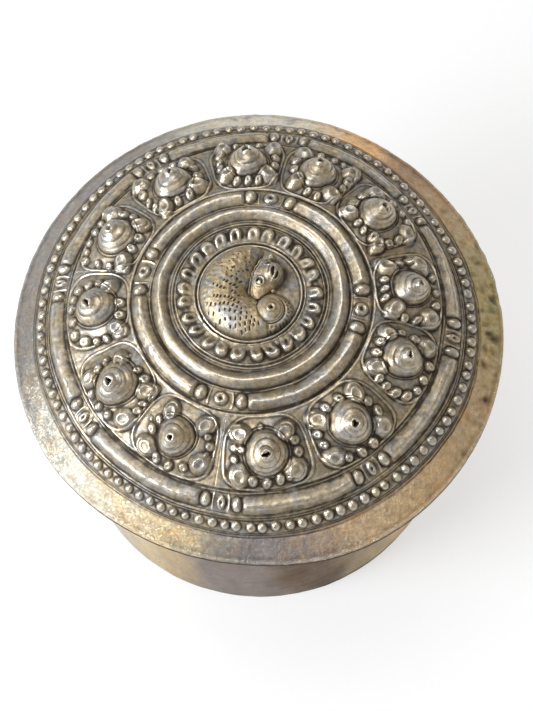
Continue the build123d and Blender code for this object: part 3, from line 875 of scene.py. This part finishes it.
def beastRelief(x, y):
    # the highest of body, haunch and head, each with its own marks
    r = np.hypot(x, y)
    body, ink = bodyRelief(x, y)
    h = body
    for part, marks in (haunchRelief(x, y), headRelief(x, y)):
        over = part > h
        meet = bell(part - h, 0.35) * (part > 0.5) * (h > 0.5)
        h, ink = np.where(over, part, h) - 0.12 * meet, np.where(over, marks, ink) + 0.35 * meet
    # the plate outside the beast lies under the medallion floor
    h = h * (1 - smooth(r, 11.5, 11.9) * 0.6)
    return h - 0.3 * (1 - smooth(h, 0, 0.4)), ink


# materials
def newMaterial(name):
    material = bpy.data.materials.new(name)
    material.use_nodes = True
    tree = material.node_tree
    tree.nodes.clear()
    return material, tree


class Wiring:
    # short names for the nodes that every finish here uses
    def __init__(self, tree):
        self.tree = tree

    def node(self, kind, settings=None, **inputs):
        made = self.tree.nodes.new(kind)
        for key, value in (settings or {}).items():
            setattr(made, key, value)
        for key, value in inputs.items():
            socket = made.inputs[int(key[1:])] if key[0] == "i" and key[1:].isdigit() else made.inputs[key]
            self.put(socket, value)
        return made

    def put(self, socket, value):
        if isinstance(value, bpy.types.NodeSocket):
            self.tree.links.new(value, socket)
        else:
            socket.default_value = value

    def maths(self, what, a, b=0.0, clamp=False):
        return self.node("ShaderNodeMath", {"operation": what, "use_clamp": clamp}, i0=a, i1=b).outputs[0]

    def noise(self, place, size, detail=3.0, rough=0.55, warp=0.0):
        made = self.node("ShaderNodeTexNoise", None, Vector=place, Scale=1 / (size * mm), Detail=detail,
                         Roughness=rough, Distortion=warp)
        return made.outputs["Fac"]

    def span(self, value, low, high, outLow=0.0, outHigh=1.0):
        made = self.node("ShaderNodeMapRange", {"interpolation_type": "SMOOTHSTEP"}, Value=value)
        for key, number in zip(("From Min", "From Max", "To Min", "To Max"), (low, high, outLow, outHigh)):
            made.inputs[key].default_value = number
        return made.outputs[0]

    def blend(self, share, first, second, how="MIX"):
        made = self.node("ShaderNodeMix", {"data_type": "RGBA", "blend_type": how, "clamp_factor": True})
        self.put(made.inputs[0], share)
        self.put(made.inputs[6], first)
        self.put(made.inputs[7], second)
        return made.outputs[2]

    def ramp(self, value, stops, mode="LINEAR"):
        made = self.node("ShaderNodeValToRGB", None, Fac=value)
        band = made.color_ramp
        band.interpolation = mode
        while len(band.elements) < len(stops):
            band.elements.new(0.5)
        for element, (at, colour) in zip(band.elements, stops):
            element.position = at
            element.color = (*colour, 1)
        return made.outputs[0]


def tint(*colour):
    return (*colour, 1.0)


# what all the finishes share; sizes in mm
silverFinish = {
    "dark": (0.036, 0.026, 0.016),
    "cool": (0.37, 0.36, 0.345),
    "warm": (0.46, 0.385, 0.27),
    "bright": (0.66, 0.62, 0.54),
    "roughness": 0.36,
    "metallic": 0.92,
    "mottle": 0.38,
    "shine": 0.8,
    "grain": 0.8,
    "dents": 0.8,
    "grazing": (1.0, 1.0, 1.0),
    "spread": (1.0, 1.0, 1.0),
    "blots": 0.6,
    "edges": 0.16,
    "blush": (1.12, 0.97, 0.80),
    "crackle": 0.0,
    "netSizes": ((2.6, 0.035), (1.3, 0.05)),
    "patchSize": 5,
    "fineSize": 1.0,
    "blushSize": 7,
    "blotSize": 3,
    "blotColour": (0.13, 0.105, 0.08),
    "crustSize": 2.4,
    "grainSize": 0.7,
    "dentSize": 2.6,
    "pitPitch": 1.3,
    "scratches": ((0.4, 0.35), (2.1, 0.3)),  # direction and width
    "scraperWidth": 0.34,
    "bumpDepth": 0.10,
}


def agedSilver(name, finish, stained=True, patinaAndReflections=None, patinaAndReflectionShare=0.0, marks=1.0):
    # tarnished silver: cool and warm patches, dark grime in the hollows together with the painted shade carried in the
    # same attribute, bright worn crests, fine scratches and pits; round the brim and the drum, broad colours that are
    # partly patina and partly painted reflections, and on the brim paler wrinkle lines painted as glints
    material, tree = newMaterial(name)
    w = Wiring(tree)
    place = w.node("ShaderNodeTexCoord").outputs["Object"]
    wide = w.node("ShaderNodeMapping", None, Vector=place)
    wide.inputs["Scale"].default_value = finish["spread"]
    wide = wide.outputs[0]
    patches = w.span(w.noise(wide, finish["patchSize"], 5, 0.65, 0.6), 0.38, 0.58)
    colour = w.blend(patches, tint(*finish["cool"]), tint(*finish["warm"]))
    fine = w.noise(wide, finish["fineSize"], 5, 0.7, 0.3)
    flat = w.node("ShaderNodeSeparateXYZ", None, Vector=place)
    around = w.maths("ARCTAN2", flat.outputs[1], flat.outputs[0])
    reach = w.node("ShaderNodeVectorMath", {"operation": "LENGTH"}, i0=place).outputs["Value"]
    # broad colours round the axis, partly patina and partly painted reflections and highlights of the room
    if patinaAndReflections is not None:
        bend = w.maths("SUBTRACT", w.noise(wide, finish["patchSize"], 5, 0.65), 0.5)
        bend = w.maths("MULTIPLY", bend, 0.6)
        share = w.maths("FRACT", w.maths("ADD", w.maths("DIVIDE", w.maths("ADD", around, bend), 2 * math.pi), 1.0))
        stops = [(at / 360, tarnishAndReflection[patch]) for at, patch in patinaAndReflections]
        colour = w.blend(patinaAndReflectionShare, colour, w.ramp(share, stops))
        warmth = w.noise(wide, finish["blushSize"], 6, 0.7, 1.2)
        warmth = w.span(warmth, 0.53 - finish["edges"] / 2, 0.53 + finish["edges"] / 2)
        colour = w.blend(warmth, colour, tint(*finish["blush"]), "MULTIPLY")
    mottle = w.span(fine, 0.30, 0.70, 1 - finish["mottle"], 1 + 0.85 * finish["mottle"])
    grey = w.node("ShaderNodeCombineXYZ", None, X=mottle, Y=mottle, Z=mottle).outputs[0]
    colour = w.blend(1.0, colour, grey, "MULTIPLY")
    if patinaAndReflections is not None:
        blots = w.span(w.noise(wide, finish["blotSize"], 6, 0.75, 1.0), 0.50, 0.68, 0.0, finish["blots"])
        colour = w.blend(blots, colour, tint(*finish["blotColour"]))
    handled = w.span(w.noise(wide, finish["blotSize"], 4, 0.6), 0.3, 0.75, -0.06, 0.12)
    roughness = w.maths("ADD", finish["roughness"], handled)
    if finish["crackle"]:
        # a net of fine wrinkles, the lines where a noise crosses its middle; the lines are also painted paler, as
        # glints on the crumpled sheet
        nets = []
        for size, width in finish["netSizes"]:
            off = w.maths("ABSOLUTE", w.maths("SUBTRACT", w.noise(wide, size, 4, 0.6, 1.6), 0.5))
            nets.append(w.span(off, 0.0, width, 1.0, 0.0))
        wrinkles = w.maths("MAXIMUM", *nets)
        wrinkleGlint = w.maths("MULTIPLY", wrinkles, w.span(fine, 0.4, 0.65, 0.0, 0.5))
        colour = w.blend(wrinkleGlint, colour, tint(1.45, 1.40, 1.30), "MULTIPLY")
    metallic = finish["metallic"]
    if stained:
        stainAndShade = w.node("ShaderNodeAttribute", {"attribute_name": "stainAndShade"}).outputs["Fac"]
        wear = w.node("ShaderNodeAttribute", {"attribute_name": "wear"}).outputs["Fac"]
        polish = w.span(fine, 0.3, 0.65, 0.375 * finish["shine"], finish["shine"])
        colour = w.blend(w.maths("MULTIPLY", wear, polish), colour, tint(*finish["bright"]))
        crumbs = w.span(w.noise(place, finish["crustSize"], 4, 0.6), 0.28, 0.62, 0.72, 1.15)
        # the dark crust is tarnish in the hollows and, where the pieces ask for it, painted shade
        crustAndShade = w.maths("MULTIPLY", stainAndShade, crumbs, True)
        colour = w.blend(crustAndShade, colour, tint(*finish["dark"]))
        metallic = w.span(crustAndShade, 0.2, 1.0, finish["metallic"], 0.35)
        roughness = w.maths("ADD", roughness, w.maths("MULTIPLY", crustAndShade, 0.34))
        roughness = w.maths("SUBTRACT", roughness, w.maths("MULTIPLY", wear, 0.06))
    # scratches, noise drawn out along two directions, and fine rings left by the scraper, drawn out round the axis
    lines = []
    for turnBy, size in finish["scratches"]:
        drawn = w.node("ShaderNodeMapping", None, Vector=place)
        drawn.inputs["Rotation"].default_value = (0, 0, turnBy)
        drawn.inputs["Scale"].default_value = (1, 0.06, 1)
        lines.append(w.span(w.noise(drawn.outputs[0], size, 2, 0.5), 0.62, 0.72))
    scratch = w.maths("MAXIMUM", *lines)
    swept = w.maths("MULTIPLY", w.maths("ABSOLUTE", around), 1.5 * mm)
    polar = w.node("ShaderNodeCombineXYZ", None, X=reach, Y=swept).outputs[0]
    rings = w.span(w.noise(polar, finish["scraperWidth"], 3, 0.6), 0.35, 0.65)
    cells = w.node("ShaderNodeTexVoronoi", {"feature": "F1"}, Vector=place, Scale=1 / (finish["pitPitch"] * mm))
    pits = w.span(cells.outputs["Distance"], 0.05, 0.16, 1.0, 0.0)
    roughness = w.maths("ADD", roughness, w.maths("MULTIPLY", scratch, 0.07 * marks))
    level = w.maths("ADD", w.maths("MULTIPLY", w.noise(wide, finish["grainSize"], 5, 0.7), finish["grain"]),
                    w.maths("MULTIPLY", w.noise(wide, finish["dentSize"], 3, 0.5), finish["dents"]))
    level = w.maths("SUBTRACT", level, w.maths("MULTIPLY", scratch, 0.22 * marks))
    level = w.maths("SUBTRACT", level, w.maths("MULTIPLY", pits, 0.25 * marks))
    level = w.maths("ADD", level, w.maths("MULTIPLY", rings, 0.30 * marks))
    if finish["crackle"]:
        level = w.maths("ADD", level, w.maths("MULTIPLY", wrinkles, finish["crackle"]))
    bump = w.node("ShaderNodeBump", None, Height=level)
    bump.inputs["Strength"].default_value = 0.7
    bump.inputs["Distance"].default_value = finish["bumpDepth"] * mm
    shader = w.node("ShaderNodeBsdfPrincipled")
    w.put(shader.inputs["Base Color"], colour)
    w.put(shader.inputs["Metallic"], metallic)
    w.put(shader.inputs["Roughness"], roughness)
    shader.inputs["Specular Tint"].default_value = tint(*finish["grazing"])
    w.put(shader.inputs["Normal"], bump.outputs[0])
    out = w.node("ShaderNodeOutputMaterial")
    tree.links.new(shader.outputs[0], out.inputs[0])
    return material


# a few colours, partly tarnish and partly painted reflections and highlights of the room, and the broad patches of them
# round the brim and the drum: azimuth, 0 at the right and 90 at the back, and the colour
tarnishAndReflection = {
    "pale": (0.80, 0.78, 0.68),
    "gold": (0.72, 0.58, 0.35),
    "tan": (0.56, 0.41, 0.24),
    "copper": (0.95, 0.60, 0.28),
    "rust": (0.38, 0.24, 0.13),
    "olive": (0.42, 0.37, 0.16),
    "steel": (0.25, 0.24, 0.235),
    "plum": (0.25, 0.22, 0.23),
    "umber": (0.09, 0.055, 0.035),
}
brimPatinaAndReflections = ((0, "olive"), (25, "tan"), (44, "rust"), (57, "copper"), (75, "pale"), (90, "pale"), (115, "steel"),
              (185, "steel"), (215, "pale"), (242, "gold"), (258, "steel"), (272, "plum"), (295, "tan"), (335, "tan"),
              (360, "olive"))
drumPatinaAndReflections = ((0, "tan"), (40, "steel"), (100, "tan"), (170, "steel"), (212, "pale"), (234, "gold"), (250, "plum"),
              (266, "plum"), (278, "umber"), (290, "umber"), (312, "gold"), (330, "tan"), (360, "tan"))
chasedSilver = agedSilver("chasedSilver", silverFinish)
beastFinish = dict(silverFinish, cool=(0.33, 0.32, 0.30), warm=(0.45, 0.36, 0.225), roughness=0.48, shine=0.45,
                   grain=1.8)
beastSilver = agedSilver("beastSilver", beastFinish, marks=0.6)
brimFinish = dict(silverFinish, roughness=0.34, grain=3.5, dents=7.0, mottle=0.13, edges=0.06, blush=(1.08, 0.98, 0.87),
                  blots=0.28, crackle=1.9)
brimSilver = agedSilver("brimSilver", brimFinish, True, brimPatinaAndReflections, 0.85)
drumFinish = dict(silverFinish, roughness=0.30, grain=0.3, dents=0.8, mottle=0.10, spread=(0.30, 0.30, 0.12),
                  blots=0.22, grazing=(0.65, 0.60, 0.54))
drumSilver = agedSilver("drumSilver", drumFinish, True, drumPatinaAndReflections, 0.95, 0.2)
plainFinish = dict(silverFinish, cool=(0.26, 0.25, 0.23), warm=(0.30, 0.25, 0.19), roughness=0.42, mottle=0.12,
                   grain=0.5, spread=(0.4, 0.4, 0.4))
plainSilver = agedSilver("plainSilver", plainFinish, False)
print("materials made")


# lid pieces
def settle(piece, body, slot, material, *nodes):
    piece.data.materials.append(material)
    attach(piece, body)
    if nodes:
        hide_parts(*nodes)
    return piece


rings = (
    ("brim", brimSpec, brimRelief, brimSilver),
    ("beadRow", beadSpec, beadRelief, chasedSilver),
    ("outerBars", outerBarSpec, barRelief(outerBarSpec), chasedSilver),
    ("innerBars", innerBarSpec, barRelief(innerBarSpec), chasedSilver),
    ("plainTorus", torusSpec, torusRelief, chasedSilver),
    ("petalRing", petalSpec, petalRelief, chasedSilver),
)
for name, spec, relief, silver in rings:
    settle(chasedRing(name, spec, relief), "lid", "chased_sheet", silver, "lid_shell")
splits = rosetteSpec["splits"]
for n, start in enumerate(splits):
    span = (splits[(n + 1) % len(splits)] - start) % 360
    made = chasedRing(f"rosettes_{n + 1}", rosetteSpec, rosetteRelief, start, span)
    settle(made, "lid", "chased_sheet", chasedSilver, "lid_shell")
medallion = discPiece("medallionFloor", medallionSpec, medallionRelief)
settle(medallion, "lid", "chased_sheet", chasedSilver, "lid_shell")
beast = discPiece("coiledBeast", beastSpec, beastRelief)
settle(beast, "lid", "beast_sheet", beastSilver, "coiled_beast")
print("lid made")

# drum
drumSpec = {
    "outer": 50.7, "sheet": 0.9, "top": 71.3, "cols": 600, "rows": 112,
    "lapAt": 90, "lapStep": 0.40, "lapFade": 9.0, "mmPerDegree": 0.88,
    "footDark": (303, 22, 0.3, 1.1),  # azimuth where the darker band is tallest, half width, its least height, what is added there
    # azimuth, half width, outwards
    "bulges": ((235, 30, 0.25), (315, 22, -0.55), (120, 40, -0.2)),
}


def drumWallPiece():
    # a thin tube: radius = round + bulges + planishing lumps, and one lapped seam that fades on its far side
    cols, rows = round(drumSpec["cols"] / coarse), round(drumSpec["rows"] / coarse)
    a = np.arange(cols) * 360 / cols
    up = np.linspace(0, 1, rows)
    z = drumSpec["top"] * up
    aa, zz = np.meshgrid(a, z)
    radius = np.full(aa.shape, drumSpec["outer"])
    for way, wide, outwards in drumSpec["bulges"]:
        radius += outwards * bell(turn(aa, way), wide) * (1 - 0.5 * zz / drumSpec["top"])
    along = aa * drumSpec["mmPerDegree"]
    radius += 0.05 * lumps(along, zz, 16, 91) + 0.025 * lumps(along, zz, 6, 92)
    gap = turn(aa, drumSpec["lapAt"])
    radius += drumSpec["lapStep"] * (gap > 0) * (1 - smooth(gap, 0, drumSpec["lapFade"]))
    bottom = smooth(zz, 0.0, 0.9)
    radius -= 0.35 * (1 - bottom) ** 2
    inner = radius - drumSpec["sheet"]
    pick = np.unique(np.round(np.linspace(0, rows - 1, rows // 3)).astype(int))
    loopR = np.concatenate([radius[::-1], inner[pick]])
    loopZ = np.concatenate([zz[::-1], zz[pick]])
    loopA = np.radians(np.broadcast_to(a, loopR.shape))
    points = np.stack([loopR * np.cos(loopA), loopR * np.sin(loopA), loopZ], -1).reshape(-1, 3)
    quads = wrapGrid(len(loopR), cols)
    sharpRows = (0, rows - 1, rows, len(loopR) - 1)
    # darker along the foot, and a dark line down the edge of the lap
    way, wide, least, more = drumSpec["footDark"]
    low = least + more * bell(turn(np.degrees(loopA), way), wide)
    footAndLapDark = 0.9 * (1 - smooth(loopZ, low, low + 1.0)) + 0.55 * bell(turn(np.degrees(loopA), drumSpec["lapAt"]), 0.4)
    return buildMesh("drumWall", points, quads, [], {"stainAndShade": footAndLapDark, "wear": footAndLapDark * 0}, sharpRows, cols)


settle(drumWallPiece(), "box", "wall_sheet", drumSilver, "body_wall")
for node in ("body_base", "mouth_wire", "lid_collar"):
    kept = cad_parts[node]
    kept.data.materials.clear()
    kept.data.materials.append(plainSilver)
print("drum made")

# floor, light and camera
floorSpec = {"reach": 4.0, "opening": 0.049, "sides": 96, "share": 0.6, "glow": 1.0, "colour": (0.875, 0.895, 0.925)}


def floorPiece():
    # a flat ring, open only under the drum, so that the base can be seen from below
    a = np.arange(floorSpec["sides"]) * 2 * math.pi / floorSpec["sides"]
    rim = np.stack([np.cos(a), np.sin(a), a * 0], -1)
    points = np.concatenate([rim * floorSpec["opening"], rim * floorSpec["reach"]]) / mm
    return buildMesh("floor", points, wrapGrid(2, len(a))[:len(a)], [], {})


floor = floorPiece()
floorPaint, floorTree = newMaterial("paleFloor")
fw = Wiring(floorTree)
path = fw.node("ShaderNodeLightPath")
seen = fw.maths("ADD", path.outputs["Is Camera Ray"], path.outputs["Is Glossy Ray"], True)
seen = fw.maths("ADD", seen, path.outputs["Is Transmission Ray"], True)
lit = fw.node("ShaderNodeBsdfDiffuse", None, Color=tint(*floorSpec["colour"]))
# where the floor is in the open, its lit share and its glow add up to white
glow = fw.node("ShaderNodeEmission", None, Color=tint(1, 1, 1), Strength=floorSpec["glow"])
both = fw.node("ShaderNodeMixShader", None, i0=fw.maths("MULTIPLY", seen, floorSpec["share"]), i1=lit.outputs[0],
               i2=glow.outputs[0])
floorTree.links.new(both.outputs[0], fw.node("ShaderNodeOutputMaterial").inputs[0])
floor.data.materials.append(floorPaint)

lamps = {
    # azimuth and elevation of the lamp, distance, size, watts, colour
    "window": (198, 28, 0.8, 0.44, 8.0, (0.97, 0.98, 1.0)),
    "ceiling": (100, 72, 0.9, 0.6, 2.8, (1.0, 0.97, 0.92)),
    "room": (322, 22, 0.8, 0.6, 0.35, (1.0, 0.84, 0.60)),
}
lampAim = Vector((0, 0, 0.06))
for name, (way, height, distance, size, watts, colour) in lamps.items():
    light = bpy.data.lights.new(name, "AREA")
    light.shape = "DISK"
    light.size, light.energy, light.color = size, watts, colour
    lamp = bpy.data.objects.new(name, light)
    w1, w2 = math.radians(way), math.radians(height)
    spot = Vector((math.cos(w1) * math.cos(w2), math.sin(w1) * math.cos(w2), math.sin(w2)))
    lamp.location = spot * distance + lampAim
    lamp.rotation_euler = spot.to_track_quat("Z", "Y").to_euler()
    bpy.context.scene.collection.objects.link(lamp)

world = bpy.data.worlds.new("studio")
world.use_nodes = True
ww = Wiring(world.node_tree)
world.node_tree.nodes.clear()
sky = ww.node("ShaderNodeTexCoord").outputs["Generated"]
parts = ww.node("ShaderNodeSeparateXYZ", None, Vector=sky)
across = ww.span(parts.outputs[0], -0.9, 0.9)
tone = ww.ramp(across, [(0.0, (0.56, 0.59, 0.65)), (0.5, (0.37, 0.355, 0.325)), (1.0, (0.29, 0.225, 0.145))])
high = ww.span(parts.outputs[2], 0.1, 0.95)
tone = ww.blend(high, tone, tint(0.50, 0.485, 0.46))
level = ww.span(parts.outputs[2], 0.05, 0.16, 1.0, 0.0)
tone = ww.blend(level, tone, tint(0.74, 0.74, 0.745))  # pale where it meets the floor
shine = ww.node("ShaderNodeBackground", None, Color=tone, Strength=1.0)
world.node_tree.links.new(shine.outputs[0], ww.node("ShaderNodeOutputWorld").inputs[0])
bpy.context.scene.world = world

cameraSpec = {
    "target": (0, 0, 64.0), "elevation": 67.85, "roll": -5.01, "distance": 420.0,
    "focalPixels": 1722.3227, "targetPixel": (256.276, 331.516), "frame": (533, 711),
}


def placeCamera(spec):
    # looks along +Y from above: back, right and up axes, rolled, then turned so that the target meets its pixel
    e, roll = math.radians(spec["elevation"]), math.radians(spec["roll"])
    back = np.array([0, -math.cos(e), math.sin(e)])
    right = np.array([1.0, 0, 0])
    up = np.cross(back, right)
    right, up = math.cos(roll) * right + math.sin(roll) * up, -math.sin(roll) * right + math.cos(roll) * up
    dx = (spec["targetPixel"][0] - spec["frame"][0] / 2) / spec["focalPixels"]
    dy = -(spec["targetPixel"][1] - spec["frame"][1] / 2) / spec["focalPixels"]
    aim = Vector((dx, dy, -1)).normalized()
    fix = Vector((0, 0, -1)).rotation_difference(aim).to_matrix()
    toCamera = fix @ Matrix((right, up, back))
    data = bpy.data.cameras.new("camera")
    data.sensor_width = 36.0
    data.lens = spec["focalPixels"] * data.sensor_width / max(spec["frame"])
    data.clip_start, data.clip_end = 0.01, 20
    camera = bpy.data.objects.new("camera", data)
    spot = Vector(spec["target"]) * mm + Vector(back) * spec["distance"] * mm
    camera.matrix_world = Matrix.Translation(spot) @ toCamera.transposed().to_4x4()
    bpy.context.scene.collection.objects.link(camera)
    bpy.context.scene.camera = camera


placeCamera(cameraSpec)
bpy.context.scene.view_settings.view_transform = "Standard"
print("scene set")
